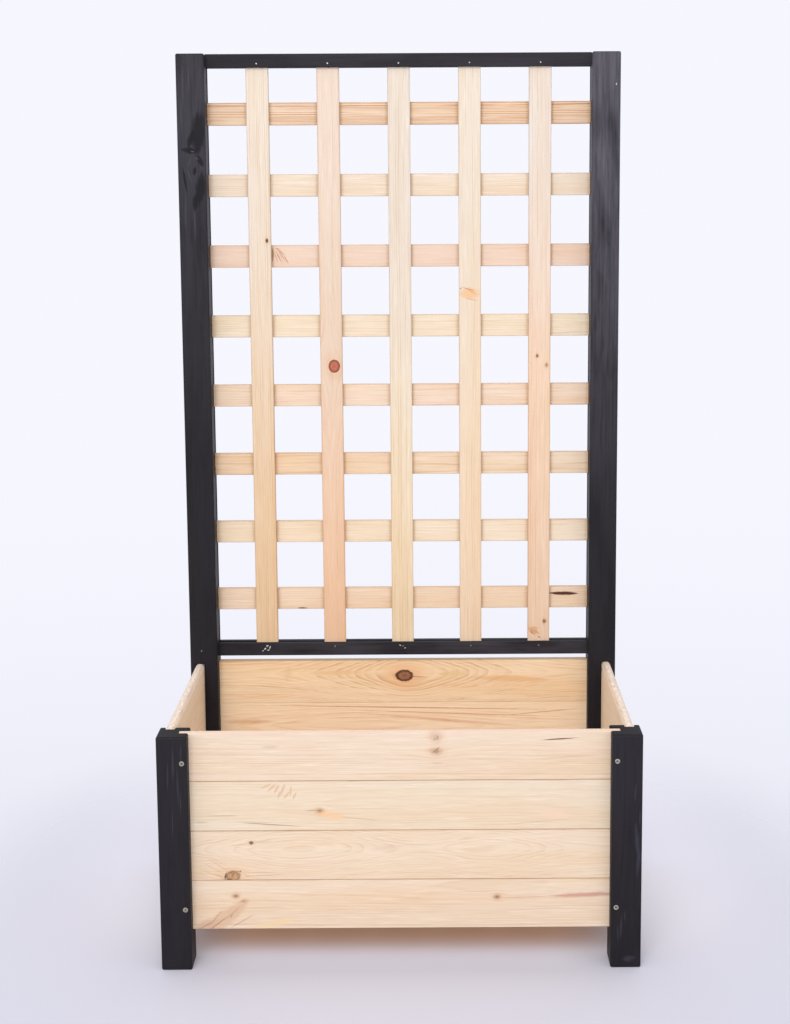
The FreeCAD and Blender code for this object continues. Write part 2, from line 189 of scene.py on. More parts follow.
def makeRings():
    tree, given, end = newGroup(
        "growthRings",
        {"Place": "Vector", "Seed": "Float", "HeartAcross": "Float", "HeartDeep": "Float",
         "Gap": "Float", "Wander": "Float"},
        {"Count": "Float", "Steep": "Float"})
    along, across, through = split(given["Place"])
    drift = noise(join(tree, along, given["Seed"], 0.0), ringLook["drift"], 1.0) - 0.5
    sink = noise(join(tree, along, given["Seed"], 3.3), ringLook["sink"], 1.0) - 0.5
    side = across - given["HeartAcross"] - drift * given["Wander"]
    deep = through - given["HeartDeep"] - sink * given["Wander"]
    moved = vectorStep(given["Place"], "ADD", join(tree, given["Seed"], 0.0, 0.0))
    ragged = noise(moved, ringLook["ragged"], 3.0)
    far = (side * side + deep * deep).step("SQRT")
    reach = far + (ragged - 0.5) * ringLook["raggedReach"]
    uneven = noise(join(tree, reach, given["Seed"], 5.1), ringLook["uneven"], 2.0) - 0.5
    feed(tree, reach / given["Gap"] + uneven * ringLook["unevenYears"], end.inputs["Count"])
    feed(tree, side.step("ABSOLUTE") / far, end.inputs["Steep"])
    return tree


# a knot: the grain parts round it, and it has its own small rings, cracks, dark rim and warm halo

knotLook = {
    "ragged": (170.0, 240.0, 240.0),
    "pull": 0.9,  # how far the grain is drawn to the knot's line
    "pullAlong": 0.10,
    "pullAcross": 0.16,
    "halo": (0.9, 3.2),  # from where to where it fades, in shares of the knot's size
    "haloTint": (0.93, 0.76, 0.64, 1.0),
    "ringsAcross": 11.0,
    "rimFrom": (0.60, 0.84),
    "rimTo": (0.98, 1.20),
    "cracksPerMetre": 150.0,  # cells of the crack pattern, in a metre
    "crackLeft": (0.25, 0.22, 0.20, 1.0),
}


def makeKnotFlow():
    tree, given, end = newGroup(
        "knotFlow",
        {"Place": "Vector", "Along": "Float", "Across": "Float", "Size": "Float", "Stretch": "Float",
         "Ragged": "Float"},
        {"Place": "Vector", "Near": "Float"})
    along, across, through = split(given["Place"])
    ragged = (noise(given["Place"], knotLook["ragged"], 2.0) - 0.5) * given["Ragged"]
    side = (along - given["Along"]) / (given["Size"] * given["Stretch"])
    rise = (across - given["Across"]) / given["Size"]
    near = (side * side + rise * rise).step("SQRT") + ragged
    reach = side * side * knotLook["pullAlong"] + rise * rise * knotLook["pullAcross"]
    pull = (reach * -1.0).step("EXPONENT") * knotLook["pull"]
    bent = across - (across - given["Across"]) * pull
    feed(tree, join(tree, along, bent, through), end.inputs["Place"])
    feed(tree, near, end.inputs["Near"])
    return tree


def makeKnotStain():
    tree, given, end = newGroup(
        "knotStain",
        {"Colour": "Color", "Place": "Vector", "Near": "Float", "Heart": "Color", "Rim": "Color",
         "Halo": "Float", "Crisp": "Float", "Cracks": "Float", "Strength": "Float"},
        {"Colour": "Color"})
    near = given["Near"]
    halo = near.soft(*knotLook["halo"]).flip() * given["Halo"]
    colour = tint(halo, given["Colour"], knotLook["haloTint"], "MULTIPLY")
    rings = (near * knotLook["ringsAcross"]).step("SINE") * 0.14 + 0.22
    heart = tint(rings, given["Heart"], given["Rim"])
    rim = near.soft(*knotLook["rimFrom"]) * near.soft(*knotLook["rimTo"]).flip()
    heart = tint(rim * 0.8, heart, given["Rim"])
    web = tree.nodes.new("ShaderNodeTexVoronoi")
    web.feature = "DISTANCE_TO_EDGE"
    web.inputs["Scale"].default_value = knotLook["cracksPerMetre"]
    feed(tree, given["Place"], web.inputs["Vector"])
    crack = Wire(tree, web.outputs["Distance"]).soft(0.0, 0.09).flip() * given["Cracks"]
    heart = tint(crack, heart, tint(crack, given["Rim"], knotLook["crackLeft"], "MULTIPLY"))
    body = near.soft(given["Crisp"].flip(), given["Crisp"] + 1.0).flip() * given["Strength"]
    feed(tree, tint(body, colour, heart), end.inputs["Colour"])
    return tree


# a streak: a resin slit, a dark year or a soft patch, spindle-shaped and turned to its angle

streakEdge = {"ragged": (60.0, 500.0, 500.0), "reach": 0.8}


def makeStreak():
    tree, given, end = newGroup(
        "grainStreak",
        {"Place": "Vector", "Along": "Float", "Across": "Float", "Long": "Float",
         "Thick": "Float", "Angle": "Float", "Soft": "Float"},
        {"Mask": "Float"})
    along, across = split(given["Place"])[:2]
    right = along - given["Along"]
    up = across - given["Across"]
    cosine = given["Angle"].step("COSINE")
    sine = given["Angle"].step("SINE")
    run = (right * cosine + up * sine) / given["Long"]
    rise = (up * cosine - right * sine) / given["Thick"]
    ragged = (noise(given["Place"], streakEdge["ragged"], 2.0) - 0.5) * streakEdge["reach"]
    body = (run * run).flip() - rise.step("ABSOLUTE") + ragged
    feed(tree, body.soft(0.0, given["Soft"]), end.inputs["Mask"])
    return tree


growthRings = makeRings()
knotFlow = makeKnotFlow()
knotStain = makeKnotStain()
grainStreak = makeStreak()
axisOrder = {"x": 0, "y": 1, "z": 2}


def localPlace(tree, node, axes):
    # along, across and through the piece, in metres; across and through start at its low faces
    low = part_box(node)[0]
    coordinates = tree.nodes.new("ShaderNodeTexCoord")
    spots = split(Wire(tree, coordinates.outputs["Object"]))
    facing = split(Wire(tree, coordinates.outputs["Normal"]))
    along, across, through = (axisOrder[letter] for letter in axes)
    place = join(tree, spots[along], spots[across] - low[across], spots[through] - low[through])
    endFace = facing[along].step("ABSOLUTE").soft(0.6, 0.9)
    flatness = facing[0].step("ABSOLUTE")
    for direction in facing[1:]:
        flatness = flatness.step("MAXIMUM", direction.step("ABSOLUTE"))
    edge = flatness.soft(0.80, 0.985).flip()
    return place, endFace, edge, facing[2].soft(0.30, 0.75), facing[1].soft(-0.8, -0.4).flip()


def seeded(place, seed):
    return vectorStep(place, "ADD", (seed * 1.37, seed * 0.71, seed * 2.13))


def newMaterial(name):
    material = bpy.data.materials.new(name)
    material.use_nodes = True
    tree = material.node_tree
    return material, tree, tree.nodes["Principled BSDF"]


def relief(tree, shader, height, strength, depth):
    bump = tree.nodes.new("ShaderNodeBump")
    bump.inputs["Strength"].default_value = strength
    bump.inputs["Distance"].default_value = depth
    feed(tree, height, bump.inputs["Height"])
    tree.links.new(bump.outputs["Normal"], shader.inputs["Normal"])


# grain: each piece has one tone, which rings, fibres and stains darken or brighten, and which
# painted shade darkens at seams, along slat edges and on crossbar fronts; these are the shares of
# red, green and blue that each of them leaves

grainLook = {
    "warm": (0.985, 0.935, 0.86, 1.0),
    "late": (0.76, 0.63, 0.50, 1.0),
    "blush": (0.99, 0.92, 0.89, 1.0),
    "fibre": (0.93, 0.895, 0.85, 1.0),
    "bright": (1.06, 1.09, 1.14, 1.0),
    # painted shade on the rounded edges at the seams between boards
    "seamShade": (0.80, 0.70, 0.60, 1.0),
    # painted shade along a slat's long edges, where its side faces are in shade
    "borderShade": (0.80, 0.74, 0.70, 1.0),
    # painted shade on a crossbar's front beside the uprights and the posts
    "beside": (0.84, 0.78, 0.70, 1.0),
}
grainNoise = {
    "lively": (8.0, 120.0, 120.0),
    "tone": (1.6, 22.0, 22.0),
    "blush": (3.0, 34.0, 34.0),
    "fibre": (22.0, 900.0, 900.0),
    "dashes": (14.0, 300.0, 300.0),
}


def drawStreaks(tree, colour, place, marks):
    for mark in marks:
        mask = useGroup(tree, grainStreak, {
            "Place": place, "Along": mark["along"] * mm, "Across": mark["across"] * mm,
            "Long": mark["long"] * mm, "Thick": mark["thick"] * mm,
            "Angle": math.radians(mark["angle"]), "Soft": mark["soft"]})["Mask"]
        colour = tint(mask * mark["strength"], colour, mark["stain"])
    return colour


def grainColour(tree, wood, place, seed):
    flowing = place
    nearness = []
    for mark in wood.get("knots", []):
        flow = useGroup(tree, knotFlow, {
            "Place": flowing, "Along": mark["along"] * mm, "Across": mark["across"] * mm,
            "Size": mark["size"] * mm, "Stretch": mark["stretch"],
            "Ragged": knotKinds[mark["kind"]]["ragged"]})
        flowing = flow["Place"]
        nearness.append(flow["Near"])
    heartAcross, heartDeep = wood["heart"]
    roaming = seeded(flowing, seed)
    rings = useGroup(tree, growthRings, {
        "Place": flowing, "Seed": seed, "HeartAcross": heartAcross * mm, "HeartDeep": heartDeep * mm,
        "Gap": wood["gap"] * mm, "Wander": wood["wander"] * mm})
    count = rings["Count"]
    along = split(flowing)[0]
    for middle, reach, dip in wood.get("swells", []):
        run = (along - middle * mm) / (reach * mm)
        count = count - (run * run * -1.0).step("EXPONENT") * (dip / wood["gap"])
    phase = count.step("FRACT")
    late = phase.step("POWER", wood.get("rise", 2.6)) * phase.soft(0.93, 1.0).flip()
    late = late * (rings["Steep"].soft(0.02, 0.34) * 0.6 + 0.4)
    year = tree.nodes.new("ShaderNodeTexWhiteNoise")
    year.noise_dimensions = "1D"
    feed(tree, count.step("FLOOR") + seed, year.inputs["W"])
    vigour = Wire(tree, year.outputs["Value"]) * 0.75 + 0.25
    lively = noise(roaming, grainNoise["lively"], 2.0).soft(0.34, 0.60) * 0.75 + 0.25
    tone = noise(roaming, grainNoise["tone"], 2.0)
    blush = noise(vectorStep(roaming, "ADD", (4.1, 0.0, 0.0)), grainNoise["blush"], 2.0).soft(0.46, 0.70)
    fibre = noise(roaming, grainNoise["fibre"], 3.0, 0.65)
    dashes = noise(vectorStep(roaming, "ADD", (2.7, 0.0, 0.0)), grainNoise["dashes"], 2.0)
    base = wood["tone"]
    if "toneEnd" in wood:
        base = tint(along.soft(*(spot * mm for spot in wood["ends"])), base, wood["toneEnd"])
    lateTint = wood.get("late", grainLook["late"])
    colour = tint(tone.soft(0.35, 0.70), base, grainLook["warm"], "MULTIPLY")
    colour = tint(blush * wood.get("blush", 0.3), colour, grainLook["blush"], "MULTIPLY")
    colour = tint(late * vigour * lively * wood["contrast"], colour, lateTint, "MULTIPLY")
    colour = tint(dashes.soft(0.55, 0.66) * wood.get("cream", 0.7), colour, grainLook["bright"], "MULTIPLY")
    colour = tint(dashes.soft(0.28, 0.44).flip() * 0.6, colour, grainLook["fibre"], "MULTIPLY")
    colour = tint(fibre.soft(0.35, 0.75), colour, grainLook["fibre"], "MULTIPLY")
    for near, mark in zip(nearness, wood.get("knots", [])):
        kind = knotKinds[mark["kind"]]
        colour = useGroup(tree, knotStain, {
            "Colour": colour, "Place": place, "Near": near, "Heart": kind["heart"], "Rim": kind["rim"],
            "Halo": mark["halo"], "Crisp": kind["crisp"], "Cracks": kind["cracks"],
            "Strength": mark["strength"]})["Colour"]
    return drawStreaks(tree, colour, place, wood.get("streaks", [])), late, fibre


knotKinds = {
    "faint": {"heart": shade(134, 104, 80), "rim": shade(186, 150, 120), "crisp": 0.95, "cracks": 0.0,
              "ragged": 0.5},
    "cracked": {"heart": shade(196, 154, 114), "rim": shade(134, 98, 70), "crisp": 0.30, "cracks": 0.45,
                "ragged": 0.9},
    "red": {"heart": shade(186, 108, 80), "rim": shade(124, 66, 46), "crisp": 0.06, "cracks": 0.15,
            "ragged": 0.14},
    "dark": {"heart": shade(104, 74, 52), "rim": shade(64, 46, 34), "crisp": 0.40, "cracks": 0.0,
             "ragged": 0.6},
    "bark": {"heart": shade(164, 112, 84), "rim": shade(60, 32, 16), "crisp": 0.12, "cracks": 0.45,
             "ragged": 0.34},
}


def knot(along, across, size, stretch=1.15, kind="faint", halo=0.3, strength=1.0):
    return {"along": along, "across": across, "size": size, "stretch": stretch, "kind": kind,
            "halo": halo, "strength": strength}


lampShare = 0.84  # what a colour seen in full light is multiplied by, to give the stain's own colour


def streak(along, across, long, thick, angle, soft, stain, strength):
    stain = tuple(part * lampShare for part in stain[:3]) + (1.0,)
    return {"along": along, "across": across, "long": long, "thick": thick, "angle": angle,
            "soft": soft, "stain": stain, "strength": strength}


crossShade = {  # where painted shade lies on a crossbar's front beside the uprights and the posts, in millimetres
    "pitch": 126,  # the uprights' spacing
    "beside": (20.5, 27.5),  # from an upright's middle
    "ends": (334, 342),  # from the crossbar's middle
}
pineGloss = {
    "roughness": 0.60,
    "specular": 0.22,
    "endLeft": (0.84, 0.74, 0.62, 1.0),  # what end grain leaves of the tone
    "sawn": shade(206, 188, 176),  # sawn top edges, grey-white with brown specks
    "speck": shade(126, 92, 74),
    "sawMarks": (70.0, 260.0, 260.0),
    "grainDepth": 0.25,
}


def dressPine(node, wood, axes, seed):  # seed moves the pattern, so that each piece has its own grain
    material, tree, shader = newMaterial("pine_" + node)
    place, endFace, edge, upward, front = localPlace(tree, node, axes)
    colour, late, fibre = grainColour(tree, wood, place, seed)
    colour = tint(front, colour, drawStreaks(tree, colour, place, wood.get("frontMarks", [])))
    # painted shade on the rounded edges at the seams between boards
    colour = tint(edge * wood.get("seamShade", 0.0), colour, grainLook["seamShade"], "MULTIPLY")
    colour = tint(endFace * 0.8, colour, pineGloss["endLeft"], "MULTIPLY")
    # painted shade along a slat's long edges
    if "borderShade" in wood:
        low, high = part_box(node)
        across = split(place)[1]
        width = high[axisOrder[axes[1]]] - low[axisOrder[axes[1]]]
        inward = across.step("MINIMUM", across.flip() + (width - 1.0))
        rim = inward.soft(0.4 * mm, 2.2 * mm).flip() * wood["borderShade"]
        colour = tint(rim, colour, grainLook["borderShade"], "MULTIPLY")
    # painted shade on a crossbar's front beside the uprights and the posts
    if wood.get("crossed"):
        along = split(place)[0]
        pitch = crossShade["pitch"] * mm
        turn = (along / pitch + 0.5).step("FRACT") - 0.5
        beside = (turn.step("ABSOLUTE") * pitch).soft(*(spot * mm for spot in crossShade["beside"])).flip()
        ends = along.step("ABSOLUTE").soft(*(spot * mm for spot in crossShade["ends"]))
        colour = tint(beside.step("MAXIMUM", ends) * front, colour, grainLook["beside"], "MULTIPLY")
    height = late * 0.5 + fibre * 0.5
    # painted light: an upward face made paler and bluer
    if "topLight" in wood:
        colour = tint(upward, colour, wood["topLight"], "MULTIPLY")
    if wood.get("sawnTop"):
        rough = noise(seeded(place, seed), pineGloss["sawMarks"], 3.0, 0.6)
        sawn = upward * rough.soft(0.30, 0.55)
        colour = tint(sawn * 0.7, colour, pineGloss["sawn"])
        colour = tint(upward * rough.soft(0.61, 0.69) * 0.4, colour, pineGloss["speck"])
        height = height + rough * upward * 2.0
    feed(tree, colour, shader.inputs["Base Color"])
    feed(tree, fibre * 0.14 + (pineGloss["roughness"] - 0.07), shader.inputs["Roughness"])
    shader.inputs["Specular IOR Level"].default_value = pineGloss["specular"]
    relief(tree, shader, height, 0.25, pineGloss["grainDepth"] * mm)
    pieces[node].data.materials.clear()
    pieces[node].data.materials.append(material)


# front panel: four planed boards, counted from the lowest; knots and marks are in millimetres
# from the object's middle and from the board's lower edge

pinkBrown = shade(206, 158, 136)
greyBrown = shade(140, 108, 86)
warmBrown = shade(190, 146, 114)
tan = shade(200, 156, 124)
slitBrown = shade(112, 74, 60)
flame = shade(248, 196, 142)
feather = shade(222, 182, 146)

frontBoards = {
    "front_board_1": {
        "tone": shade(223, 203, 180), "heart": (72, 62), "gap": 2.5, "wander": 16, "contrast": 0.9,
        "cream": 0.8,
        "knots": [knot(-271, 57, 3.1, 1.5, "faint", 0.45), knot(-258, 49, 2.6, 1.6, "faint", 0.45),
                  knot(158, 53, 3.4, 1.3, "faint", 0.4)],
        "streaks": [streak(-296, 14, 58, 17, 37, 0.45, shade(222, 184, 150), 0.75),
                    streak(-270, 33, 30, 13, 42, 0.5, shade(222, 186, 154), 0.6),
                    streak(-319, 8, 26, 11, 22, 0.5, shade(216, 178, 148), 0.7),
                    streak(-322, 6, 22, 1.5, 28, 0.8, shade(158, 112, 90), 0.6),
                    streak(-305, 19, 24, 1.3, 50, 0.8, shade(164, 120, 96), 0.5),
                    streak(-303, 8, 36, 1.8, 38, 0.8, shade(160, 116, 94), 0.60),
                    streak(-276, 28, 22, 1.3, 44, 0.8, shade(170, 128, 104), 0.45),
                    streak(-262, 13, 34, 1.5, 31, 0.8, shade(176, 132, 108), 0.50),
                    streak(-279, 22, 5, 1.1, 60, 0.8, shade(140, 96, 76), 0.6),
                    streak(-210, 9, 50, 9, 12, 0.6, shade(242, 214, 166), 0.6),
                    streak(184, 52, 30, 1.4, 1, 0.9, shade(196, 156, 130), 0.5),
                    streak(303, 56, 74, 5.6, 2.2, 0.7, shade(202, 148, 130), 0.78),
                    streak(215, 53, 34, 1.6, 1.5, 0.9, shade(206, 164, 140), 0.5)],
    },
    "front_board_2": {
        "tone": shade(223, 204, 181), "heart": (53, 19), "gap": 2.8, "wander": 5, "contrast": 0.85,
        "swells": [(-165, 150, 22), (150, 90, 13)], "rise": 3.4,
        "knots": [knot(-244, 64, 2.8, 1.3, "dark", 0.3, 0.85), knot(-275, 7, 9.2, 1.35, "cracked", 0.35)],
        "streaks": [streak(-262, 61, 26, 1.1, 9, 0.8, tan, 0.6),
                    streak(-226, 65, 20, 1.0, 6, 0.8, tan, 0.6),
                    streak(-225, 8, 40, 1.0, 2, 0.7, warmBrown, 0.6),
                    streak(-230, 13, 34, 0.8, 1, 0.7, warmBrown, 0.5),
                    streak(-298, 26, 26, 1.0, -34, 0.8, warmBrown, 0.45),
                    streak(-306, 20, 28, 0.9, -30, 0.8, warmBrown, 0.45),
                    streak(-309, 11, 24, 1.0, -22, 0.8, warmBrown, 0.45),
                    streak(-300, 33, 22, 0.8, -30, 0.8, tan, 0.4),
                    streak(-287, 7, 8, 1.9, 78, 0.5, shade(112, 78, 58), 0.9),
                    streak(-280, 2.0, 8, 1.3, 4, 0.6, shade(112, 78, 58), 0.8),
                    streak(-275, 9, 5, 1.1, 60, 0.6, shade(140, 102, 76), 0.6),
                    streak(-263, 15, 3.2, 1.7, 30, 0.7, shade(120, 86, 64), 0.8),
                    streak(-20, 54, 40, 8, 6, 1.0, pinkBrown, 0.22),
                    streak(126, 50, 36, 8, 0, 1.0, shade(226, 184, 154), 0.35)],
    },
    "front_board_3": {
        "tone": shade(221, 206, 185), "heart": (48, 50), "gap": 2.7, "wander": 14, "contrast": 0.7,
        "knots": [knot(-131, 33, 3.6, 1.5, "faint", 0.4)],
        "streaks": [streak(-113, 26, 31, 9, -9, 0.6, flame, 0.55),
                    streak(-146, 34, 15, 1.3, 4, 0.8, greyBrown, 0.5),
                    streak(-66, 20, 44, 1.2, -6, 0.8, shade(178, 144, 112), 0.5),
                    streak(-290, 26, 34, 1.0, 0, 0.6, greyBrown, 0.5),
                    streak(-215, 11, 62, 1.2, -4, 0.6, shade(160, 116, 92), 0.7),
                    streak(-235, 15, 40, 0.8, -2, 0.7, warmBrown, 0.5),
                    streak(-325, 15, 16, 2.4, 0, 0.9, greyBrown, 0.3),
                    streak(252, 25, 34, 10, -3, 0.6, shade(246, 208, 180), 0.55),
                    streak(220, 13, 80, 1.4, 5, 0.9, shade(206, 164, 134), 0.45)]
                   + [streak(*place, 0.55, feather, 0.75) for place in (
                       (-218, 76, 13, 2.2, 24), (-209, 73, 12, 2.8, 42), (-201, 71, 10, 3.0, 62),
                       (-197, 61, 9, 2.2, 74), (-191, 70, 13, 3.0, 68), (-185, 60, 10, 2.4, 52),
                       (-178, 68, 9, 2.4, 84), (-172, 59, 9, 2.2, 66))],
    },
    "front_board_4": {
        "tone": shade(221, 202, 180), "heart": (70, 60), "gap": 2.5, "wander": 9, "contrast": 0.85,
        "blush": 0.35, "cream": 0.8, "topLight": (1.07, 1.08, 1.15, 1.0),
        "knots": [knot(59, 72, 6.4, 1.1, "faint", 0.4, 0.42), knot(59, 51, 5.6, 1.3, "faint", 0.45, 0.75)],
        "streaks": [streak(258, 68.5, 36, 1.6, 3.5, 0.6, slitBrown, 0.9),
                    streak(-210, 58, 20, 5, 0, 1.0, shade(190, 168, 142), 0.35),
                    streak(62, 72, 5, 1.3, 96, 0.7, greyBrown, 0.6),
                    streak(57, 69, 6, 1.0, 20, 0.7, greyBrown, 0.5),
                    streak(61, 53, 6, 1.6, 38, 0.7, greyBrown, 0.65),
                    streak(55, 48, 4, 1.0, 30, 0.7, greyBrown, 0.5),
                    streak(-150, 57, 70, 1.0, 0, 0.8, shade(206, 174, 146), 0.45),
                    streak(270, 38, 80, 1.2, 3, 0.8, shade(208, 166, 138), 0.5),
                    streak(60, 29, 14, 1.6, 0, 0.8, shade(196, 144, 116), 0.5)],
    },
}

frontSeamShade = 0.7  # how far painted shade darkens a board's rounded edges at the seams

for number, (node, wood) in enumerate(frontBoards.items()):
    dressPine(node, dict(wood, seamShade=frontSeamShade), "xzy", 1.0 + number)
print("front panel dressed")


# back panel and side panels, seen from inside between the posts

innerWood = {
    "seamShade": 0.6, "tone": shade(240, 215, 181), "heart": (30, 40), "gap": 3.4, "wander": 22, "contrast": 0.8,
}
backBoards = {
    "back_board_1": dict(innerWood),
    "back_board_2": dict(innerWood),
    "back_board_3": {
        **innerWood, "tone": shade(243, 220, 190), "heart": (40, 22), "wander": 12,
        "swells": [(-60, 260, 14)], "late": (0.80, 0.56, 0.44, 1.0),
        "streaks": [streak(0, 74, 350, 1.4, -1.2, 0.6, shade(206, 142, 104), 0.8),
                    streak(90, 62, 240, 1.2, -2.2, 0.6, shade(206, 142, 104), 0.7),
                    streak(-290, 48, 60, 8, 0, 1.0, shade(224, 170, 120), 0.6),
                    streak(70, 50, 190, 4.5, -5, 0.8, shade(226, 168, 130), 0.45),
                    streak(262, 64, 86, 1.6, 5, 0.8, shade(206, 142, 104), 0.7)],
    },
    "back_board_4": {
        **innerWood, "heart": (56, 27), "wander": 8, "gap": 2.7, "rise": 1.5, "contrast": 1.35,
        "swells": [(20, 170, 30)],
        "knots": [knot(2, 51, 11.2, 1.48, "bark", 0.9)],
        "streaks": [streak(-125, 57, 62, 8, 1, 0.8, shade(238, 196, 140), 0.55),
                    streak(-215, 56, 20, 12, 80, 0.9, shade(240, 200, 150), 0.45),
                    streak(200, 44, 84, 8, -2, 0.6, shade(240, 190, 132), 0.65),
                    streak(95, 54, 34, 10, 4, 0.8, shade(240, 206, 146), 0.6),
                    streak(20, 49, 30, 1.6, -2, 0.6, shade(150, 96, 66), 0.5)],
    },
}
sidePale = {
    "seamShade": 0.6, "tone": shade(247, 233, 211), "gap": 2.9, "wander": 22, "contrast": 0.6,
}

for number, (node, wood) in enumerate(backBoards.items()):
    dressPine(node, wood, "xzy", 10.0 + number)
for side, seed in (("left", 20.0), ("right", 30.0)):
    for number in range(1, 5):
        heart = (random.Random(seed + number).uniform(10, 70), 40)
        wood = dict(sidePale, heart=heart, sawnTop=number == 4)
        if side == "right" and number == 4:
            wood["knots"] = [knot(164, 70, 3.6, 1.3, "faint", 0.5)]
        dressPine("%s_board_%d" % (side, number), wood, "yzx", seed + number)
print("back and side panels dressed")


# trellis: pale slats, uprights counted from the left and crossbars from the lowest; marks on an
# upright are measured across from its left edge and up from the floor, and its tone pales upwards

# slats get painted shade along their long edges
def slat(tone, heart, gap, contrast, wander=10, **marks):
    return {"tone": shade(*tone), "heart": heart, "gap": gap, "wander": wander, "contrast": contrast,
            "borderShade": 0.8, **marks}


def upright(low, high, heart, gap, contrast, **marks):
    return slat(low, heart, gap, contrast, 8, toneEnd=shade(*high), **{"ends": (550, 1350), **marks})


uprights = {
    "trellis_upright_1": upright((217, 188, 152), (216, 204, 188), (52, 30), 2.4, 1.1,
                                 knots=[knot(1175, 33, 2.4, 1.6, "dark", 0.4)],
                                 streaks=[streak(1230, 37, 70, 1.2, 1, 0.8, shade(226, 178, 138), 0.5)]),
    "trellis_upright_2": upright((222, 186, 154), (214, 196, 178), (14, 24), 2.6, 0.6,
                                 knots=[knot(947, 25, 10.5, 1.15, "red", 0.45)], blush=0.5,
                                 swells=[(930, 130, 8)], ends=(500, 1150)),
    "trellis_upright_3": upright((225, 207, 177), (214, 207, 197), (-12, 24), 2.3, 1.3),
    "trellis_upright_4": upright((226, 205, 179), (215, 203, 185), (60, 40), 2.7, 0.9,
                                 streaks=[streak(1078, 19, 14, 26, 0, 0.7, shade(238, 188, 136), 0.8),
                                          streak(1086, 17, 17, 1.4, 107, 0.7, shade(186, 126, 78), 0.75),
                                          streak(1080, 25, 12, 1.2, 118, 0.7, shade(196, 136, 86), 0.6),
                                          streak(1067, 24, 14, 1.2, 102, 0.7, shade(202, 146, 100), 0.6),
                                          streak(1087, 3, 3, 1.6, 100, 0.6, shade(150, 106, 74), 0.7)]),
    "trellis_upright_5": upright((223, 196, 170), (216, 209, 200), (-30, 30), 2.5, 1.0,
                                 blush=0.9, ends=(860, 1400),
                                 knots=[knot(964, 16, 2.4, 1.3, "dark", 0.4, 0.8),
                                        knot(947, 33, 2.6, 1.3, "faint", 0.4),
                                        knot(468, 31, 3.0, 1.2, "dark", 0.5, 0.75)],
                                 streaks=[streak(450, 11, 15, 7.0, -62, 0.7, shade(214, 152, 100), 0.75),
                                          streak(446, 8, 9, 1.6, -50, 0.7, shade(150, 96, 66), 0.7),
                                          streak(456, 14, 9, 1.3, -72, 0.7, shade(166, 108, 74), 0.6),
                                          streak(438, 21, 4, 1.7, -40, 0.6, shade(140, 92, 66), 0.7)]),
}
crossbars = {
    "trellis_crossbar_1": slat((229, 207, 182), (54, 30), 2.4, 1.0,
                               streaks=[streak(299, 27, 34, 4.0, -1, 0.45, shade(90, 48, 36), 1.0),
                                        streak(-187, 1.8, 11, 1.7, 0, 0.5, shade(96, 66, 52), 0.9)]),
    "trellis_crossbar_2": slat((229, 213, 190), (-18, 30), 2.5, 0.8),
    "trellis_crossbar_3": slat((222, 195, 164), (12, 26), 2.5, 1.1,
                               toneEnd=shade(224, 204, 180), ends=(-300, 60)),
    "trellis_crossbar_4": slat((224, 203, 181), (48, 40), 2.5, 0.9, blush=0.9),
    "trellis_crossbar_5": slat((223, 207, 182), (-20, 36), 2.5, 0.9),
    "trellis_crossbar_6": slat((217, 193, 173), (20, 32), 2.8, 0.6, blush=0.9,
                               frontMarks=[streak(-216, 21, 19, 12, -55, 0.8, shade(222, 180, 150), 0.55),
                                           streak(-230, 23, 17, 3.4, 88, 0.7, shade(164, 130, 92), 0.85)]
                                          + [streak(*place, 0.7, shade(172, 116, 84), 0.8) for place in (
                                              (-216, 28, 12, 1.3, -40), (-206, 14, 11, 1.3, -62),
                                              (-219, 18, 15, 1.0, -62), (-224, 17, 12, 1.0, -72),
                                              (-213, 20, 13, 0.9, -55), (-222, 34, 8, 1.0, -16))]),
    "trellis_crossbar_7": slat((218, 202, 181), (58, 36), 2.7, 0.6, blush=0.3, cream=1.0),
    "trellis_crossbar_8": slat((219, 197, 171), (70, 26), 2.2, 3.6, 10, rise=2.8,
                               late=(0.66, 0.42, 0.29, 1.0)),
}

for number, (node, wood) in enumerate(uprights.items()):
    dressPine(node, wood, "zxy", 40.0 + number)
for number, (node, wood) in enumerate(crossbars.items()):
    dressPine(node, dict(wood, crossed=True), "xzy", 50.0 + number)
print("trellis slats dressed")


# floor boards and their cleats, which nobody sees until the planter is empty

floorWood = {
    "tone": shade(226, 196, 160), "gap": 3.2, "wander": 24, "contrast": 0.7,
}

for number in range(1, 8):
    wood = dict(floorWood, heart=(random.Random(number).uniform(0, 90), -30))
    dressPine("floor_board_%d" % number, wood, "yxz", 60.0 + number)
for number, node in enumerate(("front_floor_cleat", "back_floor_cleat")):
    dressPine(node, dict(floorWood, heart=(40, 40)), "xzy", 70.0 + number)
print("floor dressed")


# posts and rails: pine under a black stain, with the grain just showing; greyer in places from rubbed
# wear, and on the posts' upper parts partly a painted sheen

stainLook = {
    "thin": (0.0160, 0.0143, 0.0182, 1.0),
    "lateLeft": (0.70, 0.70, 0.70, 1.0),
    # greyer tone of rubbed wear, which on the posts' upper parts is partly a painted sheen
    "rubbedAndSheen": (0.105, 0.098, 0.117, 1.0),
    "brown": (0.050, 0.034, 0.027, 1.0),
    "deep": (0.0080, 0.0070, 0.0088, 1.0),
    "gap": 2.1,
    "cloud": (5.0, 20.0, 20.0),
    "streaky": (10.0, 240.0, 240.0),
    "nicks": (40.0, 60.0, 60.0),
    "roughness": 0.50,
    "specular": 0.11,
    "grainDepth": 0.20,
}


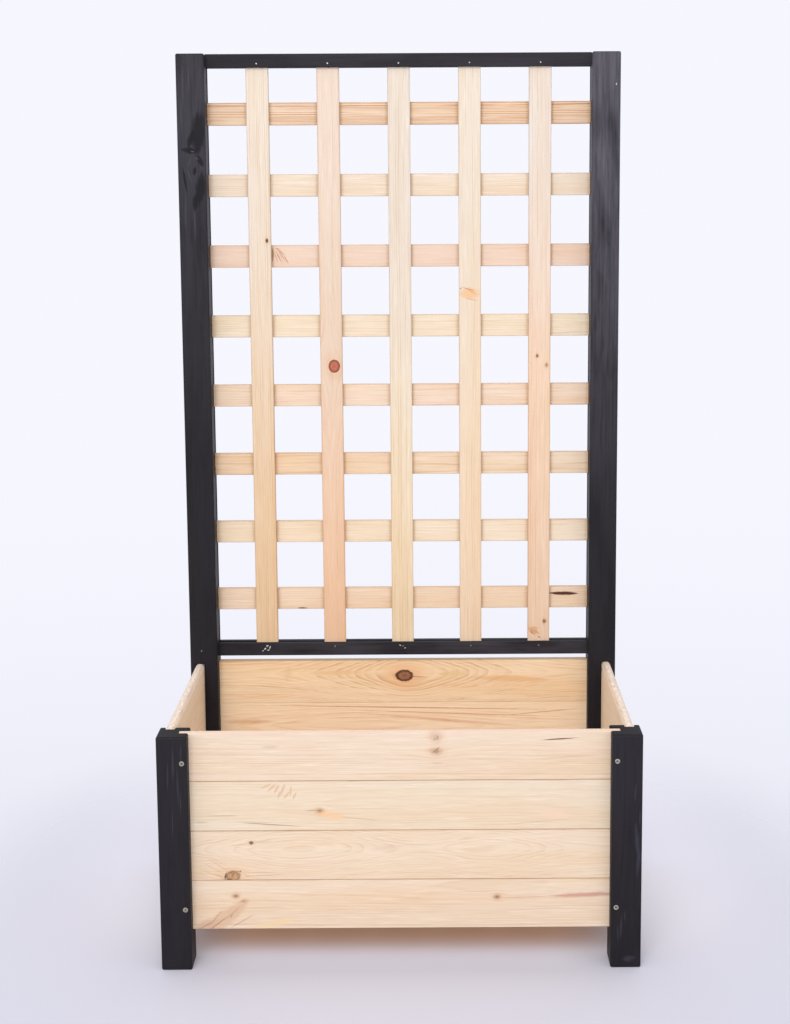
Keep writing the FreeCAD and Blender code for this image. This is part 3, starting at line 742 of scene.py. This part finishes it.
def dressStained(node, axes, heart, seed, rubAndSheenFrom, rubAndSheenTo, rubAndSheen, flecks=(), plain=0.04):
    material, tree, shader = newMaterial("black_stain_" + node)
    place, endFace, edge, upward, front = localPlace(tree, node, axes)
    wood = {"tone": stainLook["thin"], "late": stainLook["lateLeft"], "heart": heart,
            "gap": stainLook["gap"], "wander": 10, "contrast": 0.8, "blush": 0.0, "cream": 0.3}
    colour, late, fibre = grainColour(tree, wood, place, seed)
    roaming = seeded(place, seed + 3.0)
    along = split(place)[0]
    cloud = noise(roaming, stainLook["cloud"], 4.0, 0.55)
    streaky = noise(roaming, stainLook["streaky"], 3.0, 0.6)
    wornAndSheen = cloud.soft(0.30, 0.70) * 0.55 + streaky.soft(0.42, 0.68) * 0.20 + 0.20
    # greyer along part of the length: rubbed wear, and on the posts' upper parts partly a painted sheen
    colour = tint(wornAndSheen * (along.soft(rubAndSheenFrom * mm, rubAndSheenTo * mm) * rubAndSheen + plain), colour, stainLook["rubbedAndSheen"])
    colour = tint(cloud.soft(0.30, 0.48).flip() * 0.35, colour, stainLook["deep"])
    colour = tint(streaky.soft(0.34, 0.48).flip() * 0.25, colour, stainLook["deep"])
    # painted shade: the upward faces darkened
    colour = tint(upward * 0.7, colour, stainLook["deep"])
    nicked = noise(roaming, stainLook["nicks"], 3.0).soft(0.60, 0.68) * edge
    colour = tint(nicked * 0.5, colour, stainLook["brown"])
    colour = tint(endFace * 0.5, colour, stainLook["deep"])
    colour = tint(front, colour, drawStreaks(tree, colour, place, flecks))
    feed(tree, colour, shader.inputs["Base Color"])
    feed(tree, fibre * 0.25 + (stainLook["roughness"] - 0.12), shader.inputs["Roughness"])
    shader.inputs["Specular IOR Level"].default_value = stainLook["specular"]
    relief(tree, shader, late * -0.5 + fibre * 0.7, 0.25, stainLook["grainDepth"] * mm)
    pieces[node].data.materials.clear()
    pieces[node].data.materials.append(material)


# marks on the stain: each place is up or along the piece, across it, half its length, half its
# thickness and its angle

paleFleck = (0.55, 0.52, 0.50, 1.0)
paleChip = (0.78, 0.76, 0.74, 1.0)
darkPatch = (0.009, 0.008, 0.010, 1.0)
greyPatch = (0.070, 0.068, 0.080, 1.0)
scuff = (0.046, 0.043, 0.058, 1.0)
swirl = [(1368, 38, 48, 18, 5), (1356, 24, 22, 7, 18), (1336, 22, 7, 19, 8), (1270, 40, 34, 12, 6),
         (1300, 30, 9, 4, 10), (1318, 40, 14, 6, -24), (1284, 12, 26, 3, -8), (1245, 30, 20, 7, 4)]
swirlLight = [(1316, 21, 13, 2.2, 22), (1322, 34, 3, 8, 14), (1292, 20, 16, 2.6, -16),
              (1450, 12, 50, 3.0, 0), (1462, 23, 34, 2.4, 1), (1400, 8, 40, 2.4, 0),
              (1404, 41, 14, 1.6, 0), (1232, 12, 46, 3.2, 1), (1205, 28, 40, 2.4, -1)]
leftScuffs = ((352, 27, 38, 3.0, 1), (312, 34, 46, 2.4, -1), (330, 18, 30, 2.0, 2), (286, 38, 30, 1.8, 0),
              (368, 40, 20, 2.0, 3), (250, 24, 34, 1.6, 1))
rightScuffs = ((215, 42, 42, 6.0, -5), (180, 44, 30, 5.0, 4), (255, 46, 18, 1.8, 0), (70, 17, 28, 2.4, 2),
               (58, 12, 20, 1.8, -3), (88, 23, 14, 1.6, 0), (16, 30, 14, 8.0, 80), (300, 38, 24, 2.0, 3))
railChips = ((-256, 13, 2.8, 1.7, 50), (-252, 18.5, 3.4, 1.5, 18), (-247, 15.5, 3.4, 1.5, 70),
             (-250, 10.5, 3.0, 1.3, 8), (-260, 9, 2.0, 0.9, 30), (-126, 17, 2.2, 0.9, 60),
             (-5, 18, 2.6, 1.1, -40), (4, 13, 2.0, 0.9, 35))

dressStained("rear_left_post", "zxy", (18, 30), 80.0, 700, 1450, 0.26,
             flecks=[streak(*place, 0.6, darkPatch, 0.92) for place in swirl]
                    + [streak(*place, 1.0, greyPatch, 0.5) for place in swirlLight]
                    + [streak(1334, 27, 0.6, 4.5, 6, 0.8, paleFleck, 0.35),
                       streak(422, 21, 2.4, 1.0, 20, 0.4, paleFleck, 0.5)], plain=0.03)
dressStained("rear_right_post", "zxy", (30, 34), 81.0, 600, 1420, 1.0,
             flecks=[streak(1448, 42, 2.6, 1.1, 10, 0.4, paleFleck, 0.9)], plain=0.06)
dressStained("front_left_post", "zxy", (24, 36), 82.0, 100, 390, 0.03, plain=0.02,
             flecks=[streak(*place, 1.0, scuff, 0.7) for place in leftScuffs])
dressStained("front_right_post", "zxy", (10, 42), 83.0, 100, 390, 0.06, plain=0.02,
             flecks=[streak(*place, 1.0, scuff, 0.75) for place in rightScuffs])
dressStained("trellis_top_rail", "xzy", (30, 40), 84.0, -400, -100, 0.10)
dressStained("trellis_bottom_rail", "xzy", (-10, 34), 85.0, -400, -100, 0.36,
             flecks=[streak(*place, 0.5, paleChip, 0.9) for place in railChips], plain=0.05)
print("posts and rails dressed")


# fasteners: yellowish zinc screws with cross recesses, dull steel brads and nails

metals = {
    "zincScrew": {"colour": shade(206, 202, 188), "dull": shade(150, 144, 128), "roughness": 0.34,
                  "cross": shade(70, 68, 60)},
    "steelBrad": {"colour": shade(176, 172, 166), "dull": shade(112, 106, 98), "roughness": 0.38},
}
metalCloud = (420.0, 420.0, 420.0)
frontScrewSpots = ((351.2, 104.0), (351.2, 352.0))  # from the middle and from the floor
crossArm = {"half": (0.35, 0.95), "reach": (1.9, 2.7), "across": 0.94, "along": 0.34}


def recess(place):  # painted shade in each front screw's cross recess, turned a little
    right, up = split(place)[::2]
    across = right.step("ABSOLUTE")
    cosine, sine = crossArm["across"], crossArm["along"]
    dark = None
    for middle, height in frontScrewSpots:
        over = across - middle * mm
        rise = up - height * mm
        one = (over * cosine + rise * sine).step("ABSOLUTE")
        two = (rise * cosine - over * sine).step("ABSOLUTE")
        arms = one.step("MINIMUM", two).soft(*(spot * mm for spot in crossArm["half"])).flip()
        arms = arms * one.step("MAXIMUM", two).soft(*(spot * mm for spot in crossArm["reach"])).flip()
        dark = arms if dark is None else dark.step("MAXIMUM", arms)
    return dark


def metalFinish(name, crossed=False):
    look = metals[name]
    material, tree, shader = newMaterial(name)
    coordinates = tree.nodes.new("ShaderNodeTexCoord")
    place = Wire(tree, coordinates.outputs["Object"])
    cloud = noise(place, metalCloud, 3.0, 0.6)
    colour = tint(cloud.soft(0.35, 0.70), look["colour"], look["dull"])
    if crossed:
        # painted shade in the front screws' cross recesses
        colour = tint(recess(place) * 0.9, colour, look["cross"])
    feed(tree, colour, shader.inputs["Base Color"])
    feed(tree, cloud * 0.3 + (look["roughness"] - 0.1), shader.inputs["Roughness"])
    shader.inputs["Metallic"].default_value = 1.0
    relief(tree, shader, cloud, 0.15, 0.05 * mm)
    return material


fasteners = {
    "zincScrew": ["front_panel_screws", "back_panel_screws", "left_panel_screws", "right_panel_screws",
                  "left_rail_screws", "right_rail_screws", "front_cleat_screws", "back_cleat_screws"],
    "steelBrad": ["bottom_rail_brads", "top_rail_brads", "crossing_brads", "floor_nails"],
}
for finish, names in fasteners.items():
    metal = metalFinish(finish)
    for node in names:
        pieces[node].data.materials.clear()
        pieces[node].data.materials.append(metal)
pieces["front_panel_screws"].data.materials[0] = metalFinish("zincScrew", crossed=True)
print("fasteners dressed")


# studio: pale floor that fades into a white surround, with painted shadow and glow near the box, and large
# soft lights

studio = {
    "surround": (0.92, 0.925, 1.0, 1.0),
    "surroundLow": (0.715, 0.712, 0.83, 1.0),  # its tone towards the ground
    "lowFrom": 0.15,
    "lowReach": 0.33,
    "floor": (0.575, 0.565, 0.62, 1.0),
    "underBoxShadow": (0.86, 0.62, 0.50, 1.0),  # painted shadow under the box, warmed as by light off the pine: what the floor keeps of its paint there
    "bounce": (0.160, 0.152, 0.168, 1.0),  # glow under the box's front, for light off the pine
    "bounceDeep": (0.150, 0.096, 0.062, 1.0),
    "sideLift": (0.19, 0.19, 0.20, 1.0),  # glow on the floor beside the box, which lifts its shadow
    "floorReach": 6.0,  # this and the places below are in metres from the box's middle
    "underWide": (0.24, 0.40),
    "underBack": (-0.06, 0.04),
    "shadowDeepens": (-0.19, -0.09),
    "deepBounce": (-0.17, -0.10),
    "bounceBack": (-0.235, -0.165),
    "liftFrom": (0.34, 0.42),
    "liftTo": (0.46, 0.72),
    "liftBack": (-0.40, 0.25),
    "liftLeft": 0.66,  # its share on the lamp's own side, which is in less shadow
    "fadeFrom": 0.45,
    "fadeTo": 1.05,
}


def layFloor():
    mesh = bpy.data.meshes.new("studioFloor")
    shape = bmesh.new()
    bmesh.ops.create_circle(shape, cap_ends=True, radius=studio["floorReach"], segments=96)
    shape.to_mesh(mesh)
    shape.free()
    floor = bpy.data.objects.new("studioFloor", mesh)
    scene.collection.objects.link(floor)
    material, tree, shader = newMaterial("studioFloor")
    coordinates = tree.nodes.new("ShaderNodeTexCoord")
    place = Wire(tree, coordinates.outputs["Object"])
    cloud = noise(place, (3.0, 3.0, 3.0), 2.0)
    paint = studio["floor"]
    right, back = split(place)[:2]
    aside = right.step("ABSOLUTE")
    colour = tint(cloud, paint, tuple(part * 0.99 for part in paint[:3]) + (1.0,))
    under = aside.soft(*studio["underWide"]).flip() * back.soft(*studio["underBack"]).flip()
    # painted shadow on the floor under the box
    colour = tint(under * back.soft(*studio["shadowDeepens"]), colour, studio["underBoxShadow"], "MULTIPLY")
    feed(tree, colour, shader.inputs["Base Color"])
    # painted light: glow on the floor under the box's front and beside the box
    bounce = tint(back.soft(*studio["deepBounce"]), studio["bounce"], studio["bounceDeep"])
    glow = tint(under * back.soft(*studio["bounceBack"]), (0.0, 0.0, 0.0, 1.0), bounce)
    beside = aside.soft(*studio["liftFrom"]) * aside.soft(*studio["liftTo"]).flip()
    left = studio["liftLeft"]
    beside = beside * back.soft(*studio["liftBack"]) * (right.soft(-0.2, 0.2) * (1.0 - left) + left)
    feed(tree, tint(beside, glow, studio["sideLift"], "ADD"), shader.inputs["Emission Color"])
    shader.inputs["Emission Strength"].default_value = 1.0
    shader.inputs["Roughness"].default_value = 0.75
    shader.inputs["Specular IOR Level"].default_value = 0.15
    away = (right * right + back * back).step("SQRT")
    clear = tree.nodes.new("ShaderNodeBsdfTransparent")
    mix = tree.nodes.new("ShaderNodeMixShader")
    geometry = tree.nodes.new("ShaderNodeNewGeometry")
    beneath = Wire(tree, geometry.outputs["Backfacing"])  # clear to an eye under the floor
    bare = away.soft(studio["fadeFrom"], studio["fadeTo"]).step("MAXIMUM", beneath)
    feed(tree, bare, mix.inputs["Fac"])
    tree.links.new(shader.outputs["BSDF"], mix.inputs[1])
    tree.links.new(clear.outputs["BSDF"], mix.inputs[2])
    tree.links.new(mix.outputs["Shader"], tree.nodes["Material Output"].inputs["Surface"])
    mesh.materials.append(material)


lamps = {
    "frontSoftbox": {"place": (-0.5, -3.6, 2.9), "aim": (0.0, 0.0, 0.7), "size": 2.6, "watts": 112},
    "overhead": {"place": (0.2, -0.4, 3.6), "aim": (0.0, 0.0, 0.6), "size": 2.4, "watts": 8},
}


def hangLamps():
    for name, lamp in lamps.items():
        light = bpy.data.lights.new(name, "AREA")
        light.shape = "SQUARE"
        light.size = lamp["size"]
        light.energy = lamp["watts"]
        holder = bpy.data.objects.new(name, light)
        aim = Vector(lamp["aim"]) - Vector(lamp["place"])
        turned = aim.to_track_quat("-Z", "Y").to_matrix().to_4x4()
        holder.matrix_world = Matrix.Translation(lamp["place"]) @ turned
        scene.collection.objects.link(holder)


def paintSurround():
    world = bpy.data.worlds.new("studioSurround")
    world.use_nodes = True
    tree = world.node_tree
    coordinates = tree.nodes.new("ShaderNodeTexCoord")
    rise = split(Wire(tree, coordinates.outputs["Generated"]))[2]
    sink = (rise * -1.0 - studio["lowFrom"]).step("MAXIMUM", 0.0) / studio["lowReach"]
    colour = tint(sink * sink, studio["surround"], studio["surroundLow"])
    feed(tree, colour, tree.nodes["Background"].inputs["Color"])
    scene.world = world


layFloor()
hangLamps()
paintSurround()
print("studio set")
